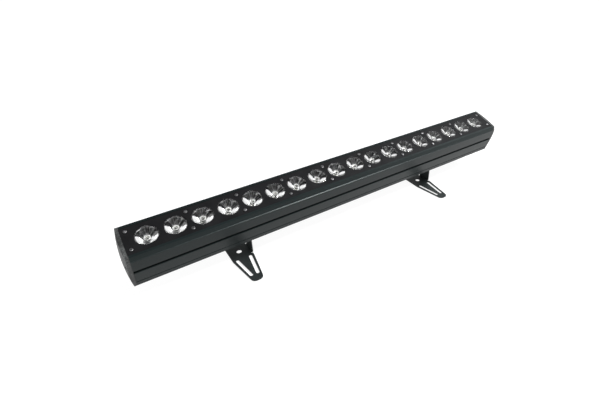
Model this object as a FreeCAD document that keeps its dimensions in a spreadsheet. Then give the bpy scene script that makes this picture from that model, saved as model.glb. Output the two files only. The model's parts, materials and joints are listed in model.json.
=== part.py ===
import FreeCAD, Part
import Sketcher
import math
import os

# Stage LED bar: a long aluminium housing with eighteen clear lenses in a flat top
# panel, carried on two folded floor feet.  Millimetres, +Z up, +X along the bar.
# The origin is on the floor, midway between the feet and below the tilt axis.
#
# The head (housing and everything fixed to it) is drawn in its own upright frame:
# X along the bar, Y to the rear, Z out of the lenses with 0 at the panel's face.
# It is then leaned forward by the tilt angle about the feet's pivot axis.

SIZES = {
    # pose and layout
    "tilt": 17.3,                # forward lean of the head, degrees
    "pivot_height": 57.0,        # tilt axis above the floor
    "pivot_depth": 100.6,        # tilt axis below the panel's face
    "foot_x": 275.0,             # foot centre from the bar's middle
    # housing section
    "half_len": 491.0,
    "rim_top": 0.5,
    "rim_inner": 32.4,
    "rim_outer": 37.7,
    "bevel_half": 43.0,
    "bevel_drop": 8.0,
    "bevel_step": 1.3,            # little shelf where the bevel meets the side
    "side_half": 44.4,
    "base_half": 44.6,
    "depth": 82.8,
    "wall": 2.4,
    "groove_top": 35.3,
    "groove_low": 41.8,
    "groove_deep": 4.5,
    "groove_lip": 0.9,
    "line_drop": 70.0,
    "line_deep": 1.3,
    "base_chamfer": 1.5,
    "web_top": 20.6,
    "web_thick": 3.0,
    "channel_half": 13.3,
    "channel_deep": 10.0,
    "ledge_half": 26.5,
    "ledge_thick": 2.5,
    "port_radius": 3.6,
    "port_bore": 1.6,
    "port_high_y": 36.0,
    "port_high_z": 26.0,
    "port_low_y": 38.8,
    "port_low_z": 50.8,
    # front panel, lenses and screws
    "panel_half_len": 492.0,
    "panel_half": 32.0,
    "panel_thick": 2.0,
    "pitch": 53.0,
    "lens_radius": 21.3,
    "lens_gap": 0.2,
    "flange_radius": 23.3,
    "flange_thick": 1.6,
    "lens_dish": 0.4,
    "lens_foot": 6.2,
    "lens_depth": 16.0,
    "lens_well": 4.2,
    "lens_well_top": 14.6,
    "screw_y": 22.0,
    "screw_end_x": 482.3,
    "screw_head": 3.4,
    "screw_head_high": 2.0,
    "screw_shank": 1.5,
    "screw_length": 8.0,
    # light engine
    "tray_half_len": 479.0,
    "tray_half": 26.0,
    "tray_wall": 1.6,
    "board_half_len": 484.0,
    "board_half": 23.5,
    "board_thick": 1.6,
    "led_radius": 5.0,
    "led_high": 1.6,
    "dome_radius": 3.0,
    "dome_high": 1.2,
    "supply_high": 36.0,
    # end caps
    "gasket_thick": 1.0,
    "cap_bottom": 76.5,
    "cap_plate": 4.5,
    "cap_crown": 503.0,
    "cap_sphere": 266.0,
    # rear control panel
    "control_z": 66.0,
    "control_half_w": 56.0,
    "control_half_high": 13.0,
    "control_thick": 1.5,
    "window_half_w": 50.0,
    "window_half_high": 8.5,
    "display_x": 25.0,
    "display_half_w": 20.0,
    "display_half_high": 7.0,
    "button_first_x": 8.0,
    "button_step": 12.0,
    "button_radius": 4.0,
    "button_gap": 0.3,
    "button_proud": 2.0,
    "button_skirt": 5.2,
    # rear sockets
    "socket_z": 66.2,
    "power_x": 440.0,
    "signal_x": 400.0,
    "socket_flange_w": 26.0,
    "socket_flange_high": 29.0,
    "socket_flange_thick": 2.0,
    "socket_barrel": 11.4,
    "socket_depth": 22.0,
    "power_bore": 9.6,
    "signal_bore": 8.6,
    "socket_bore_deep": 16.0,
    "fuse_x": 360.0,
    "vent_x": 350.0,
    # T-slot rail under the housing
    "rail_half": 13.0,
    "rail_high": 9.6,
    "rail_wall": 2.0,
    "rail_mouth": 5.5,
    # sliding carriage
    "carriage_back": 30.0,
    "carriage_front": 24.4,
    "carriage_half": 14.0,
    "carriage_thick": 3.6,
    "carriage_gap": 0.3,
    "lug_thick": 5.0,
    "lug_radius": 12.0,
    "nut_half_len": 24.0,
    "nut_half": 9.0,
    "nut_neck": 4.9,
    "bolt_radius": 4.0,
    "bolt_gap": 0.06,
    # feet
    "foot_half_w": 25.0,
    "foot_straight": 26.5,
    "foot_half_len": 106.0,
    "foot_tip_half": 12.2,
    "foot_thick": 2.0,
    "pad_thick": 2.5,
    "pad_radius": 5.0,
    "ear_outer": 27.0,
    "ear_half": 17.3,
    "ear_straight": 32.0,
    "ear_radius": 14.0,
    "notch_w": 3.2,
    "notch_x": 21.5,
    "clamp_hole": 6.0,
    "slot_near_x": 15.4,
    "slot_near_y": 28.0,
    "slot_far_x": 7.4,
    "slot_far_y": 84.5,
    "slot_radius": 3.6,
    # tilt knob
    "knob_radius": 15.0,
    "knob_thick": 12.0,
    "knob_hub": 8.5,
    "knob_hub_high": 6.0,
}

LED_COUNT = 18
BUTTONS = ("menu", "up", "down", "enter")
SIDES = {"left": -1, "right": 1}

doc = FreeCAD.newDocument("led_bar")
sheet = doc.addObject("Spreadsheet::Sheet", "dims")
for row, (alias, size) in enumerate(SIZES.items(), start=1):
    sheet.set(f"A{row}", alias)
    sheet.set(f"B{row}", str(size))
    sheet.setAlias(f"B{row}", alias)
doc.recompute()


class Dim:
    """A size in millimetres that keeps the spreadsheet expression it comes from."""

    def __init__(self, number, text):
        self.number = number
        self.text = text

    def _with(self, other, sign, result):
        return Dim(result, f"({self.text} {sign} {as_text(other)})")

    def __add__(self, other):
        return self._with(other, "+", self.number + as_number(other))

    def __sub__(self, other):
        return self._with(other, "-", self.number - as_number(other))

    def __mul__(self, other):
        return self._with(other, "*", self.number * as_number(other))

    def __truediv__(self, other):
        return self._with(other, "/", self.number / as_number(other))

    def __neg__(self):
        return Dim(-self.number, f"(0 - {self.text})")


def as_number(size):
    return size.number if isinstance(size, Dim) else float(size)


def as_text(size):
    return size.text if isinstance(size, Dim) else repr(float(size))


class Dims:
    """Looks up a spreadsheet cell by its alias."""

    def __getattr__(self, alias):
        return Dim(float(sheet.get(alias)), f"dims.{alias}")


d = Dims()
nodes = []


def bind(thing, path, size):
    """Drives one property of an object from the spreadsheet."""
    thing.setExpression(path, as_text(size))


# ---------------------------------------------------------------- sketch helpers

def new_body(label):
    body = doc.addObject("PartDesign::Body", label)
    body.Label = label
    return body


def new_sketch(body, name, role, offset=0.0):
    """A sketch on one of the body's own origin planes, moved along its normal."""
    planes = [plane for plane in body.Origin.OriginFeatures if plane.Role == role]
    sketch = body.newObject("Sketcher::SketchObject", name)
    sketch.AttachmentSupport = (planes[0], [""])
    sketch.MapMode = "FlatFace"
    sketch.AttachmentOffset = FreeCAD.Placement(
        FreeCAD.Vector(0, 0, as_number(offset)), FreeCAD.Rotation())
    if isinstance(offset, Dim):
        bind(sketch, "AttachmentOffset.Base.z", offset)
    return sketch


def fix_point(sketch, geometry, position, x, y):
    """Holds one sketch point at (x, y)."""
    for kind, size, axis in (("DistanceX", x, -2), ("DistanceY", y, -1)):
        if as_number(size) == 0.0:
            sketch.addConstraint(
                Sketcher.Constraint("PointOnObject", geometry, position, axis))
            continue
        index = sketch.addConstraint(
            Sketcher.Constraint(kind, geometry, position, as_number(size)))
        if isinstance(size, Dim):
            bind(sketch, f"Constraints[{index}]", size)


def add_polygon(sketch, points):
    first = sketch.GeometryCount
    count = len(points)
    corners = [FreeCAD.Vector(as_number(x), as_number(y), 0) for x, y in points]
    for index in range(count):
        sketch.addGeometry(
            Part.LineSegment(corners[index], corners[(index + 1) % count]), False)
    for index in range(count):
        sketch.addConstraint(Sketcher.Constraint(
            "Coincident", first + index, 2, first + (index + 1) % count, 1))
    for index, (x, y) in enumerate(points):
        fix_point(sketch, first + index, 1, x, y)


def add_circle(sketch, x, y, radius):
    centre = FreeCAD.Vector(as_number(x), as_number(y), 0)
    circle = Part.Circle(centre, FreeCAD.Vector(0, 0, 1), as_number(radius))
    geometry = sketch.addGeometry(circle, False)
    index = sketch.addConstraint(
        Sketcher.Constraint("Radius", geometry, as_number(radius)))
    if isinstance(radius, Dim):
        bind(sketch, f"Constraints[{index}]", radius)
    fix_point(sketch, geometry, 3, x, y)


def box_points(x_low, x_high, y_low, y_high):
    return [(x_low, y_low), (x_high, y_low), (x_high, y_high), (x_low, y_high)]


def mirrored(points):
    """A path on the positive side followed by its mirror image, as one loop."""
    return points + [(-x, y) for x, y in reversed(points)]


def add_pad(body, sketch, length, name):
    pad = body.newObject("PartDesign::Pad", name)
    pad.Profile = sketch
    bind(pad, "Length", length)
    return pad


def add_pocket(body, sketch, length, name, along_normal=False):
    """Cuts against the sketch's normal, or along it when asked."""
    doc.recompute()
    before = body.Shape.Volume
    pocket = body.newObject("PartDesign::Pocket", name)
    pocket.Profile = sketch
    pocket.Reversed = along_normal
    bind(pocket, "Length", length)
    doc.recompute()
    if body.Shape.Volume > before - 1e-6:
        raise RuntimeError(f"{name} cuts nothing")
    return pocket


def add_round(body, radius, name, wanted):
    """Rounds the edges of the body so far that the test picks out."""
    doc.recompute()
    base = body.Tip
    edges = [f"Edge{number}" for number, edge in enumerate(base.Shape.Edges, start=1)
             if wanted(edge)]
    if not edges:
        raise RuntimeError(f"{name} finds no edge")
    rounding = body.newObject("PartDesign::Fillet", name)
    rounding.Base = (base, edges)
    rounding.Radius = radius
    return rounding


# ------------------------------------------------------------- placing and saving

def place_on_head(thing, x=0.0):
    """Leans a piece of the head forward about the tilt axis."""
    angle = math.radians(as_number(d.tilt))
    drop = as_number(d.pivot_depth)
    base = FreeCAD.Vector(
        as_number(x), -drop * math.sin(angle),
        as_number(d.pivot_height) + drop * math.cos(angle))
    turn = FreeCAD.Rotation(FreeCAD.Vector(1, 0, 0), as_number(d.tilt))
    thing.Placement = FreeCAD.Placement(base, turn)
    if thing.isDerivedFrom("Part::Feature") and not thing.isDerivedFrom("Part::Common"):
        bind(thing, "Placement.Base.x", x)
        bind(thing, "Placement.Base.y", Dim(0, "0 - dims.pivot_depth * sin(dims.tilt * 1 deg)"))
        bind(thing, "Placement.Base.z", Dim(
            0, "dims.pivot_height + dims.pivot_depth * cos(dims.tilt * 1 deg)"))


def place_on_floor(thing, x=0.0):
    """Stands a piece of a foot at its place along the bar."""
    thing.Placement = FreeCAD.Placement(
        FreeCAD.Vector(as_number(x), 0, 0), FreeCAD.Rotation())
    bind(thing, "Placement.Base.x", x)


def keep(thing, label):
    thing.Label = label
    nodes.append(thing)


def led_x(index):
    return d.pitch * (index - (LED_COUNT - 1) / 2)


def panel_screw_points():
    """Panel screws: one pair at each end and one in every second gap."""
    columns = [-d.screw_end_x]
    columns += [d.pitch * (gap + 0.5 - (LED_COUNT - 1) / 2) for gap in range(1, 16, 2)]
    columns += [d.screw_end_x]
    return [(x, y) for x in columns for y in (-d.screw_y, d.screw_y)]


# ------------------------------------------------------------------------ housing

def step_points():
    """The shelf and rounded nose between the bevel and the side."""
    return [
        (d.bevel_half - d.bevel_step, -d.bevel_drop + 0.2),
        (d.bevel_half - 0.3, -d.bevel_drop - 0.2),
        (d.bevel_half, -d.bevel_drop - 0.8),
    ]


def make_housing():
    body = new_body("housing_extrusion")
    inner = d.base_half - d.groove_deep - d.wall
    low_wall = d.base_half - d.wall
    groove = d.base_half - d.groove_deep
    outline = new_sketch(body, "HousingOutline", "YZ_Plane", -d.half_len)
    add_polygon(outline, mirrored([
        (inner, -d.web_top),
        (inner, -d.bevel_drop - 1.5),
        (d.rim_outer - 1.5, -d.panel_thick - d.ledge_thick),
        (d.ledge_half, -d.panel_thick - d.ledge_thick),
        (d.ledge_half, -d.panel_thick),
        (d.rim_inner, -d.panel_thick),
        (d.rim_inner, d.rim_top),
        (d.rim_outer, d.rim_top),
        *step_points(),
        (d.side_half, -d.groove_top),
        (groove, -d.groove_top),
        (groove, -d.groove_low),
        (d.base_half - d.groove_lip, -d.groove_low),
        (d.base_half, -d.groove_low - d.groove_lip),
        (d.base_half, -d.line_drop + d.line_deep),
        (d.base_half - d.line_deep, -d.line_drop),
        (d.base_half, -d.line_drop - d.line_deep),
        (d.base_half, -d.depth + d.base_chamfer),
        (d.base_half - d.base_chamfer, -d.depth),
        (d.channel_half, -d.depth),
        (d.channel_half, -d.depth + d.channel_deep),
    ]))
    roof = -d.web_top - d.web_thick
    floor = -d.depth + d.wall
    add_polygon(outline, mirrored([
        (inner, roof),
        (inner, -d.groove_low - d.groove_deep - 1.5),
        (low_wall, -d.groove_low - d.groove_deep * 2 - 1.5),
        (low_wall, floor),
        (d.channel_half + d.wall, floor),
        (d.channel_half + d.wall, floor + d.channel_deep),
    ]))
    add_pad(body, outline, d.half_len * 2, "HousingPad")
    ports = new_sketch(body, "ScrewPorts", "YZ_Plane", -d.half_len)
    bores = new_sketch(body, "ScrewPortBores", "YZ_Plane", -d.half_len - 1)
    for side in (-1, 1):
        for y, z in ((d.port_high_y, d.port_high_z), (d.port_low_y, d.port_low_z)):
            add_circle(ports, y * side, -z, d.port_radius)
            add_circle(bores, y * side, -z, d.port_bore)
    add_pad(body, ports, d.half_len * 2, "ScrewPortPad")
    add_pocket(body, bores, d.half_len * 2 + 2, "ScrewPortHoles", along_normal=True)

    rear = new_sketch(body, "RearOpenings", "XZ_Plane", -d.base_half - 2)
    for side in (-1, 1):
        add_circle(rear, d.power_x * side, -d.socket_z, d.socket_barrel + 0.2)
        add_circle(rear, d.signal_x * side, -d.socket_z, d.socket_barrel + 0.2)
    add_circle(rear, -d.fuse_x, -d.socket_z, 7.2)
    add_circle(rear, d.vent_x, -d.socket_z, 6.2)
    add_polygon(rear, box_points(
        -d.window_half_w, d.window_half_w,
        -d.control_z - d.window_half_high, -d.control_z + d.window_half_high))
    add_pocket(body, rear, d.wall + 4, "RearOpeningsCut", along_normal=True)
    place_on_head(body)
    keep(body, "housing_extrusion")


def make_rail():
    """C-shaped steel rail let into the channel under the housing."""
    body = new_body("mounting_rail")
    top = -d.depth + d.channel_deep
    low = top - d.rail_high
    outline = new_sketch(body, "RailOutline", "YZ_Plane", -d.half_len)
    add_polygon(outline, mirrored([
        (d.rail_half, top),
        (d.rail_half, low),
        (d.rail_mouth, low),
        (d.rail_mouth, low + d.rail_wall),
        (d.rail_half - d.rail_wall, low + d.rail_wall),
        (d.rail_half - d.rail_wall, top - d.rail_wall),
    ]))
    add_pad(body, outline, d.half_len * 2, "RailPad")
    place_on_head(body)
    keep(body, "mounting_rail")


# --------------------------------------------------------- panel, lenses and LEDs

def make_panel():
    body = new_body("front_panel")
    plate = new_sketch(body, "PanelPlate", "XY_Plane", -d.panel_thick)
    add_polygon(plate, box_points(
        -d.panel_half_len, d.panel_half_len, -d.panel_half, d.panel_half))
    add_pad(body, plate, d.panel_thick, "PanelPad")
    holes = new_sketch(body, "PanelHoles", "XY_Plane")
    for index in range(LED_COUNT):
        add_circle(holes, led_x(index), 0.0, d.lens_radius + d.lens_gap)
    for x, y in panel_screw_points():
        add_circle(holes, x, y, d.screw_shank + 0.2)
    add_pocket(body, holes, d.panel_thick + 1, "PanelCuts")
    place_on_head(body)
    keep(body, "front_panel")


def make_lens(index):
    """Clear collimator: dished face, locating flange and a cone down to the LED."""
    label = f"lens_{index + 1:02d}"
    body = new_body(label)
    profile = new_sketch(body, f"LensProfile{index + 1:02d}", "XZ_Plane")
    under = d.panel_thick + d.flange_thick
    add_polygon(profile, [
        (0.0, -d.lens_dish),
        (d.lens_radius - 1.2, -d.lens_dish),
        (d.lens_radius - 0.8, 0.0),
        (d.lens_radius, 0.0),
        (d.lens_radius, -d.panel_thick),
        (d.flange_radius, -d.panel_thick),
        (d.flange_radius, -under),
        (d.lens_radius - 1.5, -under),
        (d.lens_foot + 7.1, -under - 7.4),
        (d.lens_foot, -d.lens_depth),
        (d.lens_well, -d.lens_depth),
        (d.lens_well, -d.lens_well_top - 1),
        (0.0, -d.lens_well_top),
    ])
    turn = body.newObject("PartDesign::Revolution", f"LensTurn{index + 1:02d}")
    turn.Profile = profile
    turn.ReferenceAxis = (profile, ["V_Axis"])
    turn.Angle = 360
    place_on_head(body, led_x(index))
    keep(body, label)


def make_tray():
    """Moulded tray that holds the lens flanges up against the panel."""
    body = new_body("lens_tray")
    top = -d.panel_thick - d.flange_thick
    section = new_sketch(body, "TraySection", "YZ_Plane", -d.tray_half_len)
    add_polygon(section, mirrored([
        (d.tray_half, top),
        (d.tray_half, -d.web_top),
        (d.tray_half - d.tray_wall, -d.web_top),
        (d.tray_half - d.tray_wall, top - d.tray_wall),
    ]))
    add_pad(body, section, d.tray_half_len * 2, "TrayPad")
    holes = new_sketch(body, "TrayHoles", "XY_Plane")
    for index in range(LED_COUNT):
        add_circle(holes, led_x(index), 0.0, d.lens_radius - 0.9)
    for x, y in panel_screw_points():
        if abs(as_number(x)) < as_number(d.screw_end_x) - 1:
            add_circle(holes, x, y, d.screw_shank)
    add_pocket(body, holes, -top + d.tray_wall + 1, "TrayCuts")
    place_on_head(body)
    keep(body, "lens_tray")


def make_led_board():
    body = new_body("led_board")
    plate = new_sketch(body, "BoardPlate", "XY_Plane", -d.web_top)
    add_polygon(plate, box_points(
        -d.board_half_len, d.board_half_len, -d.board_half, d.board_half))
    add_pad(body, plate, d.board_thick, "BoardPad")
    place_on_head(body)
    keep(body, "led_board")


def make_led_packages():
    body = new_body("led_packages")
    seat = -d.web_top + d.board_thick
    packages = new_sketch(body, "PackageRounds", "XY_Plane", seat)
    domes = new_sketch(body, "PackageDomes", "XY_Plane", seat)
    for index in range(LED_COUNT):
        add_circle(packages, led_x(index), 0.0, d.led_radius)
        add_circle(domes, led_x(index), 0.0, d.dome_radius)
    add_pad(body, packages, d.led_high, "PackagePad")
    add_pad(body, domes, d.led_high + d.dome_high, "DomePad")
    place_on_head(body)
    keep(body, "led_packages")


def cross_recess(size, width, deep, top):
    """Two crossed slots, to be cut from a screw head whose face is at the top."""
    long_bar = Part.makeBox(size, width, deep, FreeCAD.Vector(-size / 2, -width / 2, top - deep))
    cross_bar = Part.makeBox(width, size, deep, FreeCAD.Vector(-width / 2, -size / 2, top - deep))
    return long_bar.fuse(cross_bar)


def pan_screw(head, high, shank, length):
    """A pan head screw standing on z = 0 with its shank below."""
    cap = Part.makeCylinder(head, high)
    cap = cap.makeFillet(high * 0.55, [edge for edge in cap.Edges
                                       if abs(edge.CenterOfMass.z - high) < 1e-6])
    screw = cap.fuse(Part.makeCylinder(
        shank, length, FreeCAD.Vector(0, 0, -length)))
    return screw.cut(cross_recess(head * 1.15, head * 0.28, high * 0.6, high)).removeSplitter()


def copies(shape, placements):
    moved = []
    for placement in placements:
        copy = shape.copy()
        copy.Placement = placement
        moved.append(copy)
    return Part.makeCompound(moved)


def make_panel_screws():
    screw = pan_screw(as_number(d.screw_head), as_number(d.screw_head_high),
                      as_number(d.screw_shank), as_number(d.screw_length))
    places = []
    for index, (x, y) in enumerate(panel_screw_points()):
        turn = FreeCAD.Rotation(FreeCAD.Vector(0, 0, 1), (index * 37) % 90)
        places.append(FreeCAD.Placement(
            FreeCAD.Vector(as_number(x), as_number(y), 0), turn))
    thing = doc.addObject("Part::Feature", "panel_screws")
    thing.Shape = copies(screw, places)
    place_on_head(thing)
    keep(thing, "panel_screws")


# ------------------------------------------------------------------- electronics

def make_power_supply():
    body = new_body("power_supply")
    level = -d.depth + d.channel_deep + 4
    base = new_sketch(body, "SupplyBase", "XY_Plane", level)
    add_polygon(base, box_points(-430.0, -150.0, -34.0, 19.0))
    add_pad(body, base, d.supply_high, "SupplyPad")
    fins = new_sketch(body, "SupplyVents", "XY_Plane", level + d.supply_high)
    for index in range(10):
        x = -410.0 + index * 26.0
        add_polygon(fins, box_points(x, x + 4.0, -28.0, 13.0))
    add_pocket(body, fins, 3.0, "SupplyVentCuts")
    place_on_head(body)
    keep(body, "power_supply")


def make_driver_board():
    body = new_body("driver_board")
    level = -d.depth + d.channel_deep + 4
    plate = new_sketch(body, "DriverPlate", "XY_Plane", level)
    add_polygon(plate, box_points(-110.0, 320.0, -34.0, 34.0))
    add_pad(body, plate, 1.6, "DriverPad")
    tall = new_sketch(body, "DriverCoils", "XY_Plane", level)
    for index in range(9):
        x = -90.0 + index * 44.0
        add_polygon(tall, box_points(x, x + 18.0, -26.0, -8.0))
        add_circle(tall, x + 28.0, 14.0, 6.0)
    add_pad(body, tall, 18.0, "DriverCoilPad")
    place_on_head(body)
    keep(body, "driver_board")


# -------------------------------------------------------------------- end closures

def section_half(bottom):
    """Half of the housing's outer section without its grooves, down to a depth."""
    return [
        (d.rim_outer, d.rim_top),
        *step_points(),
        (d.side_half, -d.groove_top),
        (d.base_half, -bottom),
        (d.base_half - d.base_chamfer, -bottom - d.base_chamfer),
    ]


def section_outline(bottom):
    return mirrored(section_half(bottom))


def cap_screw_points():
    return [(y * side, -z) for side in (-1, 1)
            for y, z in ((d.port_high_y, d.port_high_z), (d.port_low_y, d.port_low_z))]


def make_end(side_name):
    side = SIDES[side_name]
    tag = side_name.capitalize()
    gasket = new_body(f"end_gasket_{side_name}")
    start = d.half_len if side > 0 else -d.half_len - d.gasket_thick
    ring = new_sketch(gasket, f"GasketRing{tag}", "YZ_Plane", start)
    add_polygon(ring, mirrored([
        (d.rim_inner, -d.panel_thick),
        (d.rim_inner, d.rim_top),
        *section_half(d.depth - d.base_chamfer),
    ]))
    for y, z in cap_screw_points():
        add_circle(ring, y, z, d.port_bore + 0.2)
    add_pad(gasket, ring, d.gasket_thick, f"GasketPad{tag}")
    place_on_head(gasket)
    keep(gasket, f"end_gasket_{side_name}")

    block = new_body(f"EndCapBlock{tag}")
    inner = d.panel_half_len
    thick = d.cap_crown - inner
    face = new_sketch(block, f"CapFace{tag}", "YZ_Plane", inner if side > 0 else -d.cap_crown)
    add_polygon(face, section_outline(d.cap_bottom))
    for y, z in cap_screw_points():
        add_circle(face, y, z, d.port_bore + 0.2)
    add_pad(block, face, thick, f"CapPad{tag}")
    base = new_sketch(block, f"CapBase{tag}", "YZ_Plane",
                      inner if side > 0 else -inner - d.cap_plate)
    add_polygon(base, section_outline(d.depth - d.base_chamfer))
    for y, z in cap_screw_points():
        add_circle(base, y, z, d.port_bore + 0.2)
    add_pad(block, base, d.cap_plate, f"CapBasePad{tag}")
    recess = new_sketch(block, f"CapRecess{tag}", "YZ_Plane",
                        inner + 3 if side > 0 else -inner - 3)
    for y, z in cap_screw_points():
        add_circle(recess, y, z, 3.3)
    add_pocket(block, recess, thick, f"CapRecessCut{tag}", along_normal=side > 0)
    ball = doc.addObject("Part::Sphere", f"CapDome{tag}")
    bind(ball, "Radius", d.cap_sphere)
    ball.Placement.Base = FreeCAD.Vector(
        side * (as_number(d.cap_crown) - as_number(d.cap_sphere)), 0, -41)
    bind(ball, "Placement.Base.x", (d.cap_crown - d.cap_sphere) * side)
    cap = doc.addObject("Part::Common", f"end_cap_{side_name}")
    cap.Base = block
    cap.Tool = ball
    doc.recompute()
    place_on_head(cap)
    keep(cap, f"end_cap_{side_name}")

    screw = pan_screw(3.0, 1.8, 1.5, 10.0)
    turn = FreeCAD.Rotation(FreeCAD.Vector(0, 1, 0), 90 * side)
    places = [FreeCAD.Placement(
        FreeCAD.Vector(side * (as_number(inner) + 3), as_number(y), as_number(z)), turn)
        for y, z in cap_screw_points()]
    screws = doc.addObject("Part::Feature", f"end_cap_screws_{side_name}")
    screws.Shape = copies(screw, places)
    place_on_head(screws)
    keep(screws, f"end_cap_screws_{side_name}")


# ------------------------------------------------------------- rear control panel

def button_x(index):
    return d.button_first_x + d.button_step * index


def make_control_panel():
    plate = new_body("control_plate")
    front = -d.base_half - d.control_thick
    outline = new_sketch(plate, "ControlOutline", "XZ_Plane", -d.base_half)
    add_polygon(outline, box_points(
        -d.control_half_w, d.control_half_w,
        -d.control_z - d.control_half_high, -d.control_z + d.control_half_high))
    add_polygon(outline, box_points(
        -d.display_x - d.display_half_w, -d.display_x + d.display_half_w,
        -d.control_z - d.display_half_high, -d.control_z + d.display_half_high))
    for index in range(len(BUTTONS)):
        add_circle(outline, button_x(index), -d.control_z, d.button_radius + d.button_gap)
    pad = add_pad(plate, outline, d.control_thick, "ControlPad")
    pad.Reversed = True
    place_on_head(plate)
    keep(plate, "control_plate")

    window = new_body("display_window")
    pane = new_sketch(window, "WindowPane", "XZ_Plane", front)
    add_polygon(pane, box_points(
        -d.display_x - d.display_half_w, -d.display_x + d.display_half_w,
        -d.control_z - d.display_half_high, -d.control_z + d.display_half_high))
    add_pad(window, pane, d.control_thick + 1.5, "WindowPad")
    place_on_head(window)
    keep(window, "display_window")

    board = new_body("control_board")
    back = new_sketch(board, "ControlBoardPlate", "XZ_Plane", -d.base_half + 7)
    add_polygon(back, box_points(-48.0, 48.0, -74.0, -57.5))
    add_pad(board, back, 1.6, "ControlBoardPad")
    parts = new_sketch(board, "ControlBoardParts", "XZ_Plane", -d.base_half + 3.9)
    add_polygon(parts, box_points(-44.0, -6.0, -72.5, -59.5))
    for index in range(len(BUTTONS)):
        x = button_x(index)
        add_polygon(parts, box_points(x - 3.0, x + 3.0, -d.control_z - 3, -d.control_z + 3))
    add_pad(board, parts, 3.3, "ControlBoardPartPad")
    place_on_head(board)
    keep(board, "control_board")

    for index, name in enumerate(BUTTONS):
        make_button(index, name)


def make_button(index, name):
    """Push button: round plunger through the plate and a retaining skirt behind it."""
    label = f"button_{name}"
    body = new_body(label)
    tag = name.capitalize()
    tip = new_sketch(body, f"ButtonTip{tag}", "XZ_Plane",
                     -d.base_half - d.control_thick - d.button_proud)
    add_circle(tip, 0.0, -d.control_z, d.button_radius)
    add_pad(body, tip, d.control_thick + d.button_proud + 1.4, f"ButtonPad{tag}")
    skirt = new_sketch(body, f"ButtonSkirt{tag}", "XZ_Plane", -d.base_half + 0.4)
    add_circle(skirt, 0.0, -d.control_z, d.button_skirt)
    add_pad(body, skirt, 1.0, f"ButtonSkirtPad{tag}")
    face_y = as_number(d.base_half + d.control_thick + d.button_proud)
    add_round(body, 0.8, f"ButtonRound{tag}",
              lambda edge: abs(edge.CenterOfMass.y - face_y) < 1e-4)
    place_on_head(body, button_x(index))
    keep(body, label)


# ------------------------------------------------------------------- rear sockets

def make_socket(label, x, bore, power):
    """Panel socket: flange on the rear wall, barrel inside, bore with contacts."""
    body = new_body(label)
    tag = "".join(word.capitalize() for word in label.split("_"))
    outer = -d.base_half - d.socket_flange_thick
    flange = new_sketch(body, f"Flange{tag}", "XZ_Plane", outer)
    half_w = d.socket_flange_w / 2
    half_high = d.socket_flange_high / 2
    add_polygon(flange, box_points(-half_w, half_w, -d.socket_z - half_high,
                                   -d.socket_z + half_high))
    add_pad(body, flange, d.socket_flange_thick, f"FlangePad{tag}")
    barrel = new_sketch(body, f"Barrel{tag}", "XZ_Plane", outer)
    add_circle(barrel, 0.0, -d.socket_z, d.socket_barrel)
    add_pad(body, barrel, d.socket_depth, f"BarrelPad{tag}")
    mouth = new_sketch(body, f"Mouth{tag}", "XZ_Plane", outer)
    add_circle(mouth, 0.0, -d.socket_z, bore)
    add_pocket(body, mouth, d.socket_bore_deep, f"MouthCut{tag}", along_normal=True)
    pins = new_sketch(body, f"Pins{tag}", "XZ_Plane", outer + 8)
    if power:
        add_circle(pins, 0.0, -d.socket_z, 3.4)
        for side in (-1, 1):
            add_polygon(pins, box_points(6.0 * side - 0.7, 6.0 * side + 0.7,
                                         -d.socket_z - 1.8, -d.socket_z + 1.8))
    else:
        for turn in (90, 210, 330):
            add_circle(pins, 4.6 * math.cos(math.radians(turn)),
                       -d.socket_z + 4.6 * math.sin(math.radians(turn)), 1.2)
    add_pad(body, pins, d.socket_bore_deep - 7, f"PinPad{tag}")
    place_on_head(body, x)
    keep(body, label)


def make_rear_plug(label, x, radius, hole, deep, sides):
    """Fuse holder or vent: a head on the wall and a stem through it."""
    body = new_body(label)
    tag = "".join(word.capitalize() for word in label.split("_"))
    head = new_sketch(body, f"Head{tag}", "XZ_Plane", -d.base_half - 3.5)
    if sides:
        add_polygon(head, [
            (radius * math.cos(math.tau * k / sides),
             -d.socket_z + radius * math.sin(math.tau * k / sides))
            for k in range(sides)])
    else:
        add_circle(head, 0.0, -d.socket_z, radius)
    add_pad(body, head, 3.5, f"HeadPad{tag}")
    stem = new_sketch(body, f"Stem{tag}", "XZ_Plane", -d.base_half)
    add_circle(stem, 0.0, -d.socket_z, hole)
    add_pad(body, stem, deep, f"StemPad{tag}")
    place_on_head(body, x)
    keep(body, label)


# --------------------------------------------------------- carriages on the rail

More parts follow.
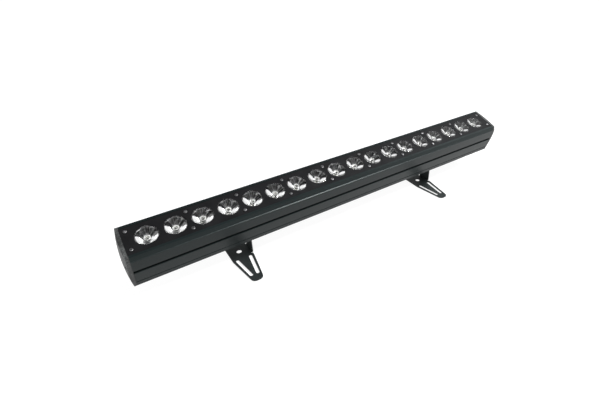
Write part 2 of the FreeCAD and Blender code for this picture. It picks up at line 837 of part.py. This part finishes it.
def make_carriage(side_name):
    """Clamp that slides under the rail and carries one foot on its lug."""
    side = SIDES[side_name]
    tag = side_name.capitalize()
    x = d.foot_x * side
    body = new_body(f"carriage_{side_name}")
    top = -d.depth - d.carriage_gap
    base = new_sketch(body, f"CarriageBase{tag}", "XY_Plane", top - d.carriage_thick)
    add_polygon(base, box_points(-d.carriage_back, d.carriage_front,
                                 -d.carriage_half, d.carriage_half))
    for offset in (-18.0, 8.0):
        add_circle(base, offset, 0.0, 3.2)
    add_pad(body, base, d.carriage_thick, f"CarriagePad{tag}")
    lug = new_sketch(body, f"CarriageLug{tag}", "YZ_Plane", d.carriage_front - d.lug_thick)
    add_polygon(lug, box_points(-d.lug_radius, d.lug_radius, -d.pivot_depth, top - 0.5))
    add_pad(body, lug, d.lug_thick, f"CarriageLugPad{tag}")
    eye = new_sketch(body, f"CarriageEye{tag}", "YZ_Plane", d.carriage_front - d.lug_thick)
    add_circle(eye, 0.0, -d.pivot_depth, d.lug_radius)
    add_pad(body, eye, d.lug_thick, f"CarriageEyePad{tag}")
    hole = new_sketch(body, f"CarriageHole{tag}", "YZ_Plane", d.carriage_front + 1)
    add_circle(hole, 0.0, -d.pivot_depth, d.bolt_radius)
    add_pocket(body, hole, d.lug_thick + 2, f"CarriageHoleCut{tag}")
    place_on_head(body, x)
    keep(body, f"carriage_{side_name}")

    nut = new_body(f"slide_nut_{side_name}")
    rail_low = -d.depth + d.channel_deep - d.rail_high
    nut_low = rail_low + d.rail_wall + 0.3
    neck = new_sketch(nut, f"NutSection{tag}", "YZ_Plane", -d.nut_half_len - 3)
    nut_top = nut_low + 4.5
    add_polygon(neck, mirrored([
        (d.nut_half, nut_top),
        (d.nut_half, nut_low),
        (d.nut_neck, nut_low),
        (d.nut_neck, top),
    ]))
    add_pad(nut, neck, d.nut_half_len * 2, f"NutPad{tag}")
    bores = new_sketch(nut, f"NutBores{tag}", "XY_Plane", nut_top + 1)
    for offset in (-18.0, 8.0):
        add_circle(bores, offset, 0.0, 3.0)
    add_pocket(nut, bores, 12.0, f"NutBoreCut{tag}")
    place_on_head(nut, x)
    keep(nut, f"slide_nut_{side_name}")

    screws = doc.addObject("Part::Feature", f"carriage_screws_{side_name}")
    screw = pan_screw(5.0, 2.6, 3.0, 9.0)
    under = as_number(top - d.carriage_thick)
    places = [FreeCAD.Placement(
        FreeCAD.Vector(offset, 0, under), FreeCAD.Rotation(FreeCAD.Vector(1, 0, 0), 180))
        for offset in (-18.0, 8.0)]
    screws.Shape = copies(screw, places)
    place_on_head(screws, x)
    keep(screws, f"carriage_screws_{side_name}")

    bolt = new_body(f"tilt_bolt_{side_name}")
    start = d.carriage_front - d.lug_thick
    head = new_sketch(bolt, f"BoltHead{tag}", "YZ_Plane", start - 5)
    add_polygon(head, [
        (7.3 * math.cos(math.tau * k / 6), -d.pivot_depth + 7.3 * math.sin(math.tau * k / 6))
        for k in range(6)])
    add_pad(bolt, head, 5.0, f"BoltHeadPad{tag}")
    shank = new_sketch(bolt, f"BoltShank{tag}", "YZ_Plane", start)
    add_circle(shank, 0.0, -d.pivot_depth, d.bolt_radius)
    add_pad(bolt, shank, 23.0, f"BoltShankPad{tag}")
    place_on_head(bolt, x)
    keep(bolt, f"tilt_bolt_{side_name}")


def make_knob(side_name):
    """Star knob on the outer end of the tilt bolt."""
    side = SIDES[side_name]
    tag = side_name.capitalize()
    body = new_body(f"tilt_knob_{side_name}")
    inner = d.ear_outer + 0.3
    hub = new_sketch(body, f"KnobHub{tag}", "YZ_Plane", inner)
    add_circle(hub, 0.0, 0.0, d.knob_hub)
    add_pad(body, hub, d.knob_hub_high, f"KnobHubPad{tag}")
    grip = new_sketch(body, f"KnobGrip{tag}", "YZ_Plane", inner + d.knob_hub_high - 1)
    add_circle(grip, 0.0, 0.0, d.knob_radius)
    add_pad(body, grip, d.knob_thick, f"KnobGripPad{tag}")
    bore = new_sketch(body, f"KnobBore{tag}", "YZ_Plane", inner - 1)
    add_circle(bore, 0.0, 0.0, d.bolt_radius + d.bolt_gap)
    add_pocket(body, bore, 17.0, f"KnobBoreCut{tag}", along_normal=True)
    flute = new_sketch(body, f"KnobFlute{tag}", "YZ_Plane", inner + 4)
    add_circle(flute, d.knob_radius + 2.0, 0.0, 5.0)
    cut = add_pocket(body, flute, 20.0, f"KnobFluteCut{tag}", along_normal=True)
    ring = body.newObject("PartDesign::PolarPattern", f"KnobFlutes{tag}")
    ring.Originals = [cut]
    ring.Axis = (flute, ["N_Axis"])
    ring.Angle = 360
    ring.Occurrences = 6
    body.Tip = ring
    body.Placement = FreeCAD.Placement(
        FreeCAD.Vector(side * as_number(d.foot_x), 0, as_number(d.pivot_height)),
        FreeCAD.Rotation())
    bind(body, "Placement.Base.x", d.foot_x * side)
    bind(body, "Placement.Base.z", d.pivot_height)
    keep(body, f"tilt_knob_{side_name}")


# --------------------------------------------------------------------------- feet

def make_foot(side_name):
    """Folded sheet foot: a flat sole, tapered to both ends, and one upright ear."""
    side = SIDES[side_name]
    tag = side_name.capitalize()
    x = d.foot_x * side
    level = d.pad_thick
    body = new_body(f"foot_{side_name}")
    sole = new_sketch(body, f"Sole{tag}", "XY_Plane", level)
    add_polygon(sole, [
        (d.ear_outer, -d.ear_half),
        (d.ear_outer, d.ear_half),
        (d.notch_x, d.ear_half),
        (d.notch_x, d.ear_half + d.notch_w),
        (d.foot_half_w, d.ear_half + d.notch_w),
        (d.foot_half_w, d.foot_straight),
        (d.foot_tip_half, d.foot_half_len),
        (-d.foot_tip_half, d.foot_half_len),
        (-d.foot_half_w, d.foot_straight),
        (-d.foot_half_w, -d.foot_straight),
        (-d.foot_tip_half, -d.foot_half_len),
        (d.foot_tip_half, -d.foot_half_len),
        (d.foot_half_w, -d.foot_straight),
        (d.foot_half_w, -d.ear_half - d.notch_w),
        (d.notch_x, -d.ear_half - d.notch_w),
        (d.notch_x, -d.ear_half),
    ])
    add_pad(body, sole, d.foot_thick, f"SolePad{tag}")
    ear = new_sketch(body, f"Ear{tag}", "YZ_Plane", d.ear_outer - d.foot_thick)
    lean = as_number(d.ear_radius) / math.sqrt(2)
    add_polygon(ear, [
        (-d.ear_half, level),
        (d.ear_half, level),
        (d.ear_half, d.ear_straight),
        (d.ear_radius, d.pivot_height),
        (lean, d.pivot_height + lean),
        (-lean, d.pivot_height + lean),
        (-d.ear_radius, d.pivot_height),
        (-d.ear_half, d.ear_straight),
    ])
    add_pad(body, ear, d.foot_thick, f"EarPad{tag}")
    crown = new_sketch(body, f"EarCrown{tag}", "YZ_Plane", d.ear_outer - d.foot_thick)
    add_circle(crown, 0.0, d.pivot_height, d.ear_radius)
    add_pad(body, crown, d.foot_thick, f"EarCrownPad{tag}")
    pivot = new_sketch(body, f"EarPivot{tag}", "YZ_Plane", d.ear_outer + 1)
    add_circle(pivot, 0.0, d.pivot_height, d.bolt_radius + d.bolt_gap)
    add_pocket(body, pivot, d.foot_thick + 2, f"EarPivotCut{tag}")

    slots = new_sketch(body, f"SlotSides{tag}", "XY_Plane", level + d.foot_thick)
    ends = new_sketch(body, f"SlotEnds{tag}", "XY_Plane", level + d.foot_thick)
    run_x = as_number(d.slot_near_x - d.slot_far_x)
    run_y = as_number(d.slot_far_y - d.slot_near_y)
    long = math.hypot(run_x, run_y)
    off_x = d.slot_radius * (run_y / long)
    off_y = d.slot_radius * (run_x / long)
    for along in (-1, 1):
        for across in (-1, 1):
            near = (d.slot_near_x * across, d.slot_near_y * along)
            far = (d.slot_far_x * across, d.slot_far_y * along)
            add_polygon(slots, [
                (near[0] + off_x * across, near[1] + off_y * along),
                (far[0] + off_x * across, far[1] + off_y * along),
                (far[0] - off_x * across, far[1] - off_y * along),
                (near[0] - off_x * across, near[1] - off_y * along),
            ])
            add_circle(ends, near[0], near[1], d.slot_radius)
            add_circle(ends, far[0], far[1], d.slot_radius)
    add_circle(ends, 0.0, 0.0, d.clamp_hole)
    add_pocket(body, slots, d.foot_thick + 1, f"SlotSideCut{tag}")
    add_pocket(body, ends, d.foot_thick + 1, f"SlotEndCut{tag}")

    half_len = as_number(d.foot_half_len)
    outer = as_number(d.ear_outer)
    add_round(body, 11.0, f"TipRound{tag}",
              lambda edge: abs(abs(edge.CenterOfMass.y) - half_len) < 1e-3
              and edge.BoundBox.ZLength > 1.9)
    add_round(body, 2.2, f"FoldRound{tag}",
              lambda edge: abs(edge.CenterOfMass.x - outer) < 1e-3
              and edge.BoundBox.YLength > 30
              and abs(edge.CenterOfMass.z - as_number(level)) < 1e-3)
    place_on_floor(body, x)
    keep(body, f"foot_{side_name}")

    pads = new_body(f"foot_pads_{side_name}")
    discs = new_sketch(pads, f"PadDiscs{tag}", "XY_Plane")
    for px, py in ((-16.0, -14.0), (16.0, -14.0), (-16.0, 14.0), (16.0, 14.0),
                   (0.0, -95.0), (0.0, 95.0)):
        add_circle(discs, px, py, d.pad_radius)
    add_pad(pads, discs, d.pad_thick, f"PadDiscPad{tag}")
    place_on_floor(pads, x)
    keep(pads, f"foot_pads_{side_name}")


make_housing()
make_rail()
make_panel()
for led in range(LED_COUNT):
    make_lens(led)
make_tray()
make_led_board()
make_led_packages()
make_panel_screws()
make_power_supply()
make_driver_board()
make_control_panel()
make_socket("power_in_socket", -d.power_x, d.power_bore, True)
make_socket("power_out_socket", d.power_x, d.power_bore, True)
make_socket("signal_in_socket", -d.signal_x, d.signal_bore, False)
make_socket("signal_out_socket", d.signal_x, d.signal_bore, False)
make_rear_plug("fuse_holder", -d.fuse_x, 8.5, 7.0, 24.0, 0)
make_rear_plug("vent_plug", d.vent_x, 9.0, 6.0, 8.0, 6)
for end_name in SIDES:
    make_end(end_name)
    make_carriage(end_name)
    make_knob(end_name)
    make_foot(end_name)

doc.recompute()
for thing in doc.Objects:
    if "Invalid" in thing.State or "Error" in thing.State:
        raise RuntimeError(f"{thing.Label} failed: {thing.State}")

os.makedirs("parts", exist_ok=True)
for node in nodes:
    shape = node.Shape
    if shape.isNull() or not shape.isValid():
        raise RuntimeError(f"{node.Label} has no valid shape")
    shape.exportStep(f"parts/{node.Label}.step")
print(len(nodes), "pieces written")
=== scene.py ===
import json
import math
import bmesh
import bpy
from mathutils import Matrix, Vector


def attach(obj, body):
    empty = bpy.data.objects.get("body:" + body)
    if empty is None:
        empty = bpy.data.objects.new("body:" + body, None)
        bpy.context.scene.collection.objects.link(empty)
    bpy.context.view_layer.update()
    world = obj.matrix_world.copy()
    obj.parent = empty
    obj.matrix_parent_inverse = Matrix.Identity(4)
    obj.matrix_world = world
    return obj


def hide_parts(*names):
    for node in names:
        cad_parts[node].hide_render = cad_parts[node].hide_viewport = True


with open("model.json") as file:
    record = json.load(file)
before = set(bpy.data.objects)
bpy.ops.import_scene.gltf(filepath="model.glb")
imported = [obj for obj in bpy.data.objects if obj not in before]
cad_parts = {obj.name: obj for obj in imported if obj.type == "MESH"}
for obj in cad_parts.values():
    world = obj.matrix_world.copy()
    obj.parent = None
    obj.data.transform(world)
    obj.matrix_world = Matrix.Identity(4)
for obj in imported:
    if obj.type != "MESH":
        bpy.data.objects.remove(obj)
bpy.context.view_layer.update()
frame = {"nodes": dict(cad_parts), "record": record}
nodes = frame["nodes"]

MM = 0.001
TILT = math.radians(17.3)          # forward lean of the head
PIVOT_HEIGHT = 57.0 * MM           # tilt axis above the floor
PIVOT_DEPTH = 100.6 * MM           # tilt axis below the panel's face
PITCH = 53.0 * MM                  # spacing of the lenses
LENS_COUNT = 18

# The head's own frame: X along the bar, Y to the rear, Z out of the lenses.
HEAD = (Matrix.Translation((0, 0, PIVOT_HEIGHT)) @ Matrix.Rotation(TILT, 4, "X")
        @ Matrix.Translation((0, 0, PIVOT_DEPTH)))

# Lens sizes in mm. Heights are measured from the panel's face, along HEAD's Z.
LENS_FRONT = [(0, -0.9), (19.6, -0.9),                        # flat face
              (20.1, -0.25), (20.5, 0.0), (21.0, 0.0),        # raised rim
              (21.25, -0.3), (21.25, -2.0),                   # collar in the panel's hole
              (23.2, -2.0), (23.2, -3.6)]                     # flange under the panel
LENS_FRONT_SHARP = [1, 6, 7, 8]                               # creased rings of that list
LENS_TOP, LENS_FOOT = (20.4, -3.6), (6.2, -16.0)              # ends of the curved wall
WALL_CURVE = 1.3                                              # how far the wall bellies out
WALL_STEPS = 16
WELL_MOUTH, WELL_ROOF, WELL_TOP = 4.0, 3.7, -14.3             # recess over the LED
WELL_CROWN, WELL_STEPS = -1.4, 5                              # its domed end
CUP_INSIDE, CUP_OUTSIDE = 0.2, 0.7                            # cup's walls off the lens wall
EMITTER_TOP, EMITTER_SHOULDER, EMITTER_FOOT = -16.05, -16.15, -16.25
EMITTER_FACE, EMITTER_RADIUS = 2.6, 2.9

FLOOR_REACH = 12.0
FLOOR_TONE = (0.16, 0.16, 0.16, 1)
FLOOR_GLOW = 0.9

# Two dark patches in the white world, like black cards, fixed in the world's directions.
BACK_CARD = (0.25, 0.42, 0.87)                                # above and behind the bar
BACK_CARD_EDGE, BACK_CARD_CORE = 0.80, 0.93                   # cosines of its soft border
BACK_CARD_TONE = (0.06, 0.06, 0.065, 1)
FRONT_CARD = (-0.30, -0.58, 0.76)                             # above and in front of the bar
FRONT_CARD_EDGE, FRONT_CARD_CORE = 0.90, 0.955
FRONT_CARD_LEVEL = 0.2
WHITE = (1, 1, 1, 1)

# name, place, aim, size and watts
LAMPS = [("key_soft", (1.0, -0.83, 2.0), (0, 0, 0.1), (1.6, 0.2), 165),
         ("left_soft", (-2.3, -0.6, 1.1), (-0.2, 0, 0.1), (1.2, 1.2), 5)]

CAMERA_PLACE = (-0.5035, -0.7471, 0.6549)
CAMERA_DOWN, CAMERA_TURN = 30.39, -34.35                      # degrees
FOCAL_LENGTH, SENSOR_WIDTH = 25.61, 36.0
CAMERA_SHIFT = (-0.0689, -0.0488)
CAMERA_REACH = 100


# ------------------------------------------------------------------ node helpers

class Shader:
    """Small helper that builds one Principled material from procedural nodes."""

    def __init__(self, name, **constants):
        self.material = bpy.data.materials.new(name)
        self.material.use_nodes = True
        self.tree = self.material.node_tree
        self.bsdf = self.tree.nodes["Principled BSDF"]
        for socket, value in constants.items():
            self.bsdf.inputs[socket.replace("_", " ")].default_value = value
        self.coordinates = self.tree.nodes.new("ShaderNodeTexCoord").outputs["Object"]

    def link(self, source, target):
        self.tree.links.new(source, target)

    def add(self, kind, **values):
        """A new node with the given input values."""
        node = self.tree.nodes.new(kind)
        for socket, value in values.items():
            node.inputs[socket.replace("_", " ")].default_value = value
        return node

    def stretched(self, scale):
        """Object coordinates with a scale of their own on each axis."""
        node = self.add("ShaderNodeMapping", Scale=scale)
        self.link(self.coordinates, node.inputs["Vector"])
        return node.outputs["Vector"]

    def noise(self, scale, detail=3.0, rough=0.55, vector=None):
        node = self.add("ShaderNodeTexNoise", Scale=scale, Detail=detail, Roughness=rough)
        self.link(vector or self.coordinates, node.inputs["Vector"])
        return node.outputs["Fac"]

    def cells(self, scale):
        node = self.add("ShaderNodeTexVoronoi", Scale=scale)
        self.link(self.coordinates, node.inputs["Vector"])
        return node.outputs["Distance"]

    def ramp(self, factor, stops):
        """Colour that runs through (place, (red, green, blue)) stops."""
        node = self.add("ShaderNodeValToRGB")
        elements = node.color_ramp.elements
        while len(elements) > 1:
            elements.remove(elements[0])
        for index, (place, colour) in enumerate(stops):
            element = elements[0] if index == 0 else elements.new(place)
            element.position = place
            element.color = (*colour, 1)
        self.link(factor, node.inputs["Fac"])
        return node.outputs["Color"]

    def span(self, factor, low, high):
        """Maps the middle of a noise, 0.3 to 0.7, onto low to high."""
        node = self.add("ShaderNodeMapRange", From_Min=0.3, From_Max=0.7,
                        To_Min=low, To_Max=high)
        self.link(factor, node.inputs["Value"])
        return node.outputs["Result"]

    def math(self, kind, first, second):
        node = self.add("ShaderNodeMath")
        node.operation = kind
        for socket, value in zip(node.inputs, (first, second)):
            if isinstance(value, float):
                socket.default_value = value
            else:
                self.link(value, socket)
        return node.outputs["Value"]

    def weighted(self, first, second, share):
        """The first value by its share, plus the second by the rest."""
        return self.math("ADD", self.math("MULTIPLY", first, share),
                         self.math("MULTIPLY", second, 1.0 - share))

    def colour(self, output):
        self.link(output, self.bsdf.inputs["Base Color"])

    def rough(self, output):
        self.link(output, self.bsdf.inputs["Roughness"])

    def bump(self, height, distance, strength):
        node = self.add("ShaderNodeBump", Strength=strength, Distance=distance)
        self.link(height, node.inputs["Height"])
        self.link(node.outputs["Normal"], self.bsdf.inputs["Normal"])


def scaled(colour, factor):
    return tuple(channel * factor for channel in colour)


# --------------------------------------------------------------------- materials

def anodised():
    """Dark satin anodised extrusion with die lines along the bar."""
    tone = (0.0042, 0.0064, 0.0066)
    s = Shader("housing_anodised", Specular_IOR_Level=0.165,
               Specular_Tint=(0.9, 1.0, 1.0, 1))
    lines = s.noise(1.0, detail=4.0, rough=0.6, vector=s.stretched((3.0, 900.0, 900.0)))
    clouds = s.noise(14.0, detail=4.0)
    mixed = s.weighted(lines, clouds, 0.6)
    s.colour(s.ramp(mixed, [(0.3, scaled(tone, 0.82)), (0.5, tone),
                            (0.72, scaled(tone, 1.16))]))
    s.rough(s.span(mixed, 0.28, 0.4))
    s.bump(lines, distance=0.00006, strength=0.5)
    return s.material


def powder(name, tone, low, high, grain=2600.0, depth=0.00006, **constants):
    """Fine orange-peel grain over slow variation in shade: powder coat and mouldings."""
    s = Shader(name, **constants)
    fine = s.noise(grain, detail=2.0)
    slow = s.noise(30.0, detail=4.0)
    shade = s.weighted(fine, slow, 0.35)
    s.colour(s.ramp(shade, [(0.3, scaled(tone, 0.75)), (0.5, tone),
                            (0.7, scaled(tone, 1.25))]))
    s.rough(s.span(shade, low, high))
    s.bump(fine, distance=depth, strength=0.6)
    return s.material


def cast(name, tone):
    """Moulded end cap: coarse pebble grain with small lighter flecks."""
    s = Shader(name, Specular_IOR_Level=0.3)
    pebble = s.cells(420.0)
    grain = s.noise(520.0, detail=4.0)
    slow = s.noise(45.0, detail=4.0)
    mixed = s.weighted(grain, slow, 0.6)
    s.colour(s.ramp(mixed, [(0.36, scaled(tone, 0.35)), (0.5, tone),
                            (0.58, scaled(tone, 2.2)), (0.66, scaled(tone, 4.0))]))
    s.rough(s.span(mixed, 0.38, 0.62))
    s.bump(pebble, distance=0.00025, strength=0.8)
    return s.material


def plated(name, tone, low, high):
    """Bare or plated metal, slightly uneven in shade and polish."""
    s = Shader(name, Metallic=1.0)
    fine = s.noise(900.0)
    slow = s.noise(120.0)
    s.colour(s.ramp(slow, [(0.3, scaled(tone, 0.8)), (0.7, tone)]))
    s.rough(s.span(fine, low, high))
    s.bump(fine, distance=0.00002, strength=0.4)
    return s.material


def board(name, tone, **constants):
    """Circuit board: fine weave under patchy lacquer."""
    s = Shader(name, **constants)
    weave = s.cells(900.0)
    patches = s.noise(220.0, detail=2.0)
    s.colour(s.ramp(patches, [(0.4, scaled(tone, 0.7)), (0.5, tone),
                              (0.62, scaled(tone, 1.15))]))
    s.rough(s.span(patches, 0.3, 0.5))
    s.bump(weave, distance=0.00005, strength=0.4)
    return s.material


def metallised():
    """Metallised holder cup, with painted reflection streaks, dark and light, round it that
    run down from its mouth.
    """
    s = Shader("holder_cup", Metallic=1.0)
    around = s.add("ShaderNodeTexGradient")
    around.gradient_type = "RADIAL"
    s.link(s.coordinates, around.inputs["Vector"])
    # Painted reflection: the dark and light streaks round the cup stand in for streaks that
    # it mirrors; only the mid grey is the metal's own tone.
    painted_streak = s.add("ShaderNodeTexNoise", Scale=26.0, Detail=2.0)
    painted_streak.noise_dimensions = "1D"
    s.link(around.outputs["Fac"], painted_streak.inputs["W"])
    s.colour(s.ramp(painted_streak.outputs["Fac"], [(0.36, (0.13, 0.13, 0.135)),
                                            (0.5, (0.19, 0.19, 0.19)),
                                            (0.62, (0.42, 0.42, 0.42))]))
    s.rough(s.span(s.noise(300.0, detail=2.0), 0.28, 0.4))
    return s.material


def clear_lens():
    """Clear moulded lens with a very slight ripple."""
    s = Shader("lens_clear", Roughness=0.0, IOR=1.49, Transmission_Weight=1.0,
               Base_Color=(0.985, 0.99, 0.99, 1))
    s.bump(s.noise(90.0, detail=2.0), distance=0.00003, strength=0.35)
    return s.material


def display():
    """Dark display window with a faint haze."""
    s = Shader("display_glass")
    haze = s.noise(60.0, detail=4.0)
    s.rough(s.span(haze, 0.05, 0.14))
    s.colour(s.ramp(haze, [(0.3, (0.004, 0.009, 0.016)), (0.7, (0.008, 0.016, 0.026))]))
    return s.material


# powder and plated take a tone and the lowest and highest roughness; powder may also take
# the scale of its grain and the depth of its bump in metres.
MATERIALS = {
    "housing_anodised": anodised(),
    "zinc_steel": plated("zinc_steel", (0.42, 0.43, 0.44), 0.3, 0.45),
    "panel_black": powder("panel_black", (0.005, 0.005, 0.0054), 0.36, 0.48,
                          Specular_IOR_Level=0.065, Specular_Tint=(0.94, 0.98, 1.0, 1)),
    "screw_steel": plated("screw_steel", (0.17, 0.17, 0.175), 0.28, 0.42),
    "moulded_black": powder("moulded_black", (0.018, 0.018, 0.02), 0.45, 0.6,
                            1800.0, 0.00008),
    # The glow stands in for light that the path tracer loses in the solid lenses.
    "board_white": board("board_white", (0.8, 0.8, 0.79),
                         Emission_Color=(1, 1, 0.98, 1), Emission_Strength=0.6),
    # Painted glow: the LED packages are unlit but glow faintly, like the board above.
    "led_yellow": powder("led_yellow", (0.55, 0.55, 0.53), 0.3, 0.45, 3000.0, 0.00002,
                         Emission_Color=(1, 1, 0.97, 1), Emission_Strength=0.14),
    "supply_case": plated("supply_case", (0.45, 0.46, 0.47), 0.35, 0.5),
    "board_green": board("board_green", (0.02, 0.12, 0.05)),
    "display_glass": display(),
    "button_rubber": powder("button_rubber", (0.055, 0.055, 0.057), 0.55, 0.72,
                            2200.0, 0.00005),
    "socket_black": powder("socket_black", (0.02, 0.02, 0.022), 0.35, 0.5,
                           2000.0, 0.00006),
    "lens_clear": clear_lens(),
    "cap_grey": cast("cap_grey", (0.016, 0.017, 0.017)),
    "gasket_rubber": powder("gasket_rubber", (0.012, 0.012, 0.012), 0.7, 0.85,
                            1500.0, 0.0001),
    "bracket_black": powder("bracket_black", (0.006, 0.0078, 0.0078), 0.4, 0.55,
                            2400.0, 0.00007, Specular_IOR_Level=0.3,
                            Specular_Tint=(0.88, 1.0, 1.0, 1)),
    "holder_cup": metallised(),
    "emitter": powder("emitter", (0.22, 0.22, 0.2), 0.2, 0.3, 3000.0, 0.00002),
}

for part in frame["record"]["subparts"]:
    for slot in nodes[part["node"]].material_slots:
        slot.material = MATERIALS[part["material_slot"]]


# ------------------------------------------------------------------- mesh helpers

def revolve(name, profile, sharp, segments=96):
    """A solid of revolution about Z from (radius, height) points in mm."""
    mesh = bpy.data.meshes.new(name)
    shape = bmesh.new()
    rings = []
    for radius, height in profile:
        if radius == 0:
            rings.append([shape.verts.new((0, 0, height * MM))] * segments)
            continue
        rings.append([
            shape.verts.new((radius * MM * math.cos(math.tau * k / segments),
                             radius * MM * math.sin(math.tau * k / segments), height * MM))
            for k in range(segments)])
    for upper, lower in zip(rings, rings[1:]):
        for k in range(segments):
            after = (k + 1) % segments
            corners = [upper[k], lower[k], lower[after], upper[after]]
            face = shape.faces.new(list(dict.fromkeys(corners)))
            face.smooth = True
    bmesh.ops.recalc_face_normals(shape, faces=shape.faces)
    for index in sharp:
        ring = rings[index]
        for k in range(segments):
            shape.edges.get((ring[k], ring[(k + 1) % segments])).smooth = False
    shape.to_mesh(mesh)
    shape.free()
    return mesh


def wall_points(grow=0.0):
    """(radius, height) of the collimator's curved wall, from its flange to its foot."""
    points = []
    for step in range(WALL_STEPS + 1):
        share = step / WALL_STEPS
        radius = LENS_TOP[0] + (LENS_FOOT[0] - LENS_TOP[0]) * share
        fall = 1 - (1 - share) ** WALL_CURVE
        points.append((radius + grow, LENS_TOP[1] + (LENS_FOOT[1] - LENS_TOP[1]) * fall))
    return points


def lens_mesh():
    """Solid collimator: flat face in a raised rim, flange, curved wall, LED well."""
    profile = LENS_FRONT + wall_points()
    wall_start, wall_end = len(LENS_FRONT), len(profile) - 1
    profile += [(WELL_MOUTH, LENS_FOOT[1]), (WELL_ROOF, WELL_TOP)]
    sharp = LENS_FRONT_SHARP + [wall_start, wall_end, wall_end + 1, wall_end + 2]
    for step in range(1, WELL_STEPS):
        share = step / WELL_STEPS
        profile.append((WELL_ROOF * (1 - share),
                        WELL_TOP + WELL_CROWN * math.sin(share * math.pi / 2)))
    profile.append((0, WELL_TOP + WELL_CROWN))
    return revolve("lens_mesh", profile, sharp)


def cup_mesh():
    """Holder cup round the collimator: a thin shell just outside its curved wall."""
    inner, outer = wall_points(CUP_INSIDE)[1:], wall_points(CUP_OUTSIDE)[1:]
    profile = inner + outer[::-1] + inner[:1]
    sharp = [0, WALL_STEPS - 1, WALL_STEPS, 2 * WALL_STEPS - 1]
    return revolve("cup_mesh", profile, sharp)


def emitter_mesh():
    """Phosphor disc set in the silicone on top of one LED package."""
    return revolve("emitter_mesh", [(0, EMITTER_TOP), (EMITTER_FACE, EMITTER_TOP),
                                    (EMITTER_RADIUS, EMITTER_SHOULDER),
                                    (EMITTER_RADIUS, EMITTER_FOOT), (0, EMITTER_FOOT)],
                   [1, 2, 3])


# -------------------------------------------------------------------------- lenses

def set_of(name, mesh, material, replaced=None):
    """One copy of a mesh at each of the eighteen lens places, riding the head."""
    mesh.materials.append(MATERIALS[material])
    for index in range(LENS_COUNT):
        piece = bpy.data.objects.new(f"{name}_{index + 1:02d}", mesh)
        bpy.context.scene.collection.objects.link(piece)
        x = (index - (LENS_COUNT - 1) / 2) * PITCH
        piece.matrix_world = Matrix.Translation((x, 0, 0)) @ HEAD
        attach(piece, "head")
        if replaced:
            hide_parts(f"{replaced}_{index + 1:02d}")


set_of("collimator", lens_mesh(), "lens_clear", "lens")
set_of("holder_cup", cup_mesh(), "holder_cup")
set_of("emitter", emitter_mesh(), "emitter")


# --------------------------------------------------------------- floor, light, view

def make_floor():
    """Plain white sheet, lit mostly by its own glow so that it shows no hard shadow."""
    mesh = bpy.data.meshes.new("floor")
    reach = FLOOR_REACH
    mesh.from_pydata([(-reach, -reach, 0), (reach, -reach, 0), (reach, reach, 0),
                      (-reach, reach, 0)], [], [(0, 1, 2, 3)])
    floor = bpy.data.objects.new("floor", mesh)
    bpy.context.scene.collection.objects.link(floor)
    paper = Shader("floor_paper", Base_Color=FLOOR_TONE, Roughness=0.9,
                   Specular_IOR_Level=0.1, Emission_Color=WHITE,
                   Emission_Strength=FLOOR_GLOW)
    mesh.materials.append(paper.material)


def area_light(name, place, aim, size, power):
    data = bpy.data.lights.new(name, "AREA")
    data.shape = "RECTANGLE"
    data.size, data.size_y = size
    data.energy = power
    light = bpy.data.objects.new(name, data)
    bpy.context.scene.collection.objects.link(light)
    light.location = place
    light.rotation_euler = (Vector(aim) - Vector(place)).to_track_quat("-Z", "Y").to_euler()


def nearness(tree, direction, aim):
    """Cosine of the angle between a direction of the world and aim."""
    node = tree.nodes.new("ShaderNodeVectorMath")
    node.operation = "DOT_PRODUCT"
    node.inputs[1].default_value = Vector(aim).normalized()
    tree.links.new(direction, node.inputs[0])
    return node.outputs["Value"]


def make_world():
    """White studio with the two dark cards, each fading in over its soft border."""
    world = bpy.data.worlds.new("studio")
    bpy.context.scene.world = world
    world.use_nodes = True
    tree = world.node_tree
    direction = tree.nodes.new("ShaderNodeTexCoord").outputs["Generated"]

    back = tree.nodes.new("ShaderNodeValToRGB")
    edge, core = back.color_ramp.elements
    edge.position, edge.color = BACK_CARD_EDGE, WHITE
    core.position, core.color = BACK_CARD_CORE, BACK_CARD_TONE
    tree.links.new(nearness(tree, direction, BACK_CARD), back.inputs["Fac"])

    front = tree.nodes.new("ShaderNodeMapRange")
    front.interpolation_type = "SMOOTHSTEP"
    for socket, value in (("From Min", FRONT_CARD_EDGE), ("From Max", FRONT_CARD_CORE),
                          ("To Min", 1.0), ("To Max", FRONT_CARD_LEVEL)):
        front.inputs[socket].default_value = value
    tree.links.new(nearness(tree, direction, FRONT_CARD), front.inputs["Value"])

    both = tree.nodes.new("ShaderNodeVectorMath")
    both.operation = "SCALE"
    tree.links.new(back.outputs["Color"], both.inputs[0])
    tree.links.new(front.outputs["Result"], both.inputs["Scale"])
    background = tree.nodes["Background"]
    background.inputs["Strength"].default_value = 1.0
    tree.links.new(both.outputs["Vector"], background.inputs["Color"])


def make_camera():
    data = bpy.data.cameras.new("camera")
    data.sensor_width = SENSOR_WIDTH
    data.lens = FOCAL_LENGTH
    data.shift_x, data.shift_y = CAMERA_SHIFT
    data.clip_end = CAMERA_REACH
    camera = bpy.data.objects.new("camera", data)
    bpy.context.scene.collection.objects.link(camera)
    camera.location = CAMERA_PLACE
    camera.rotation_euler = (math.radians(90 - CAMERA_DOWN), 0, math.radians(CAMERA_TURN))
    bpy.context.scene.camera = camera


make_floor()
make_world()
for lamp in LAMPS:
    area_light(*lamp)
make_camera()
bpy.context.scene.view_settings.view_transform = "Standard"
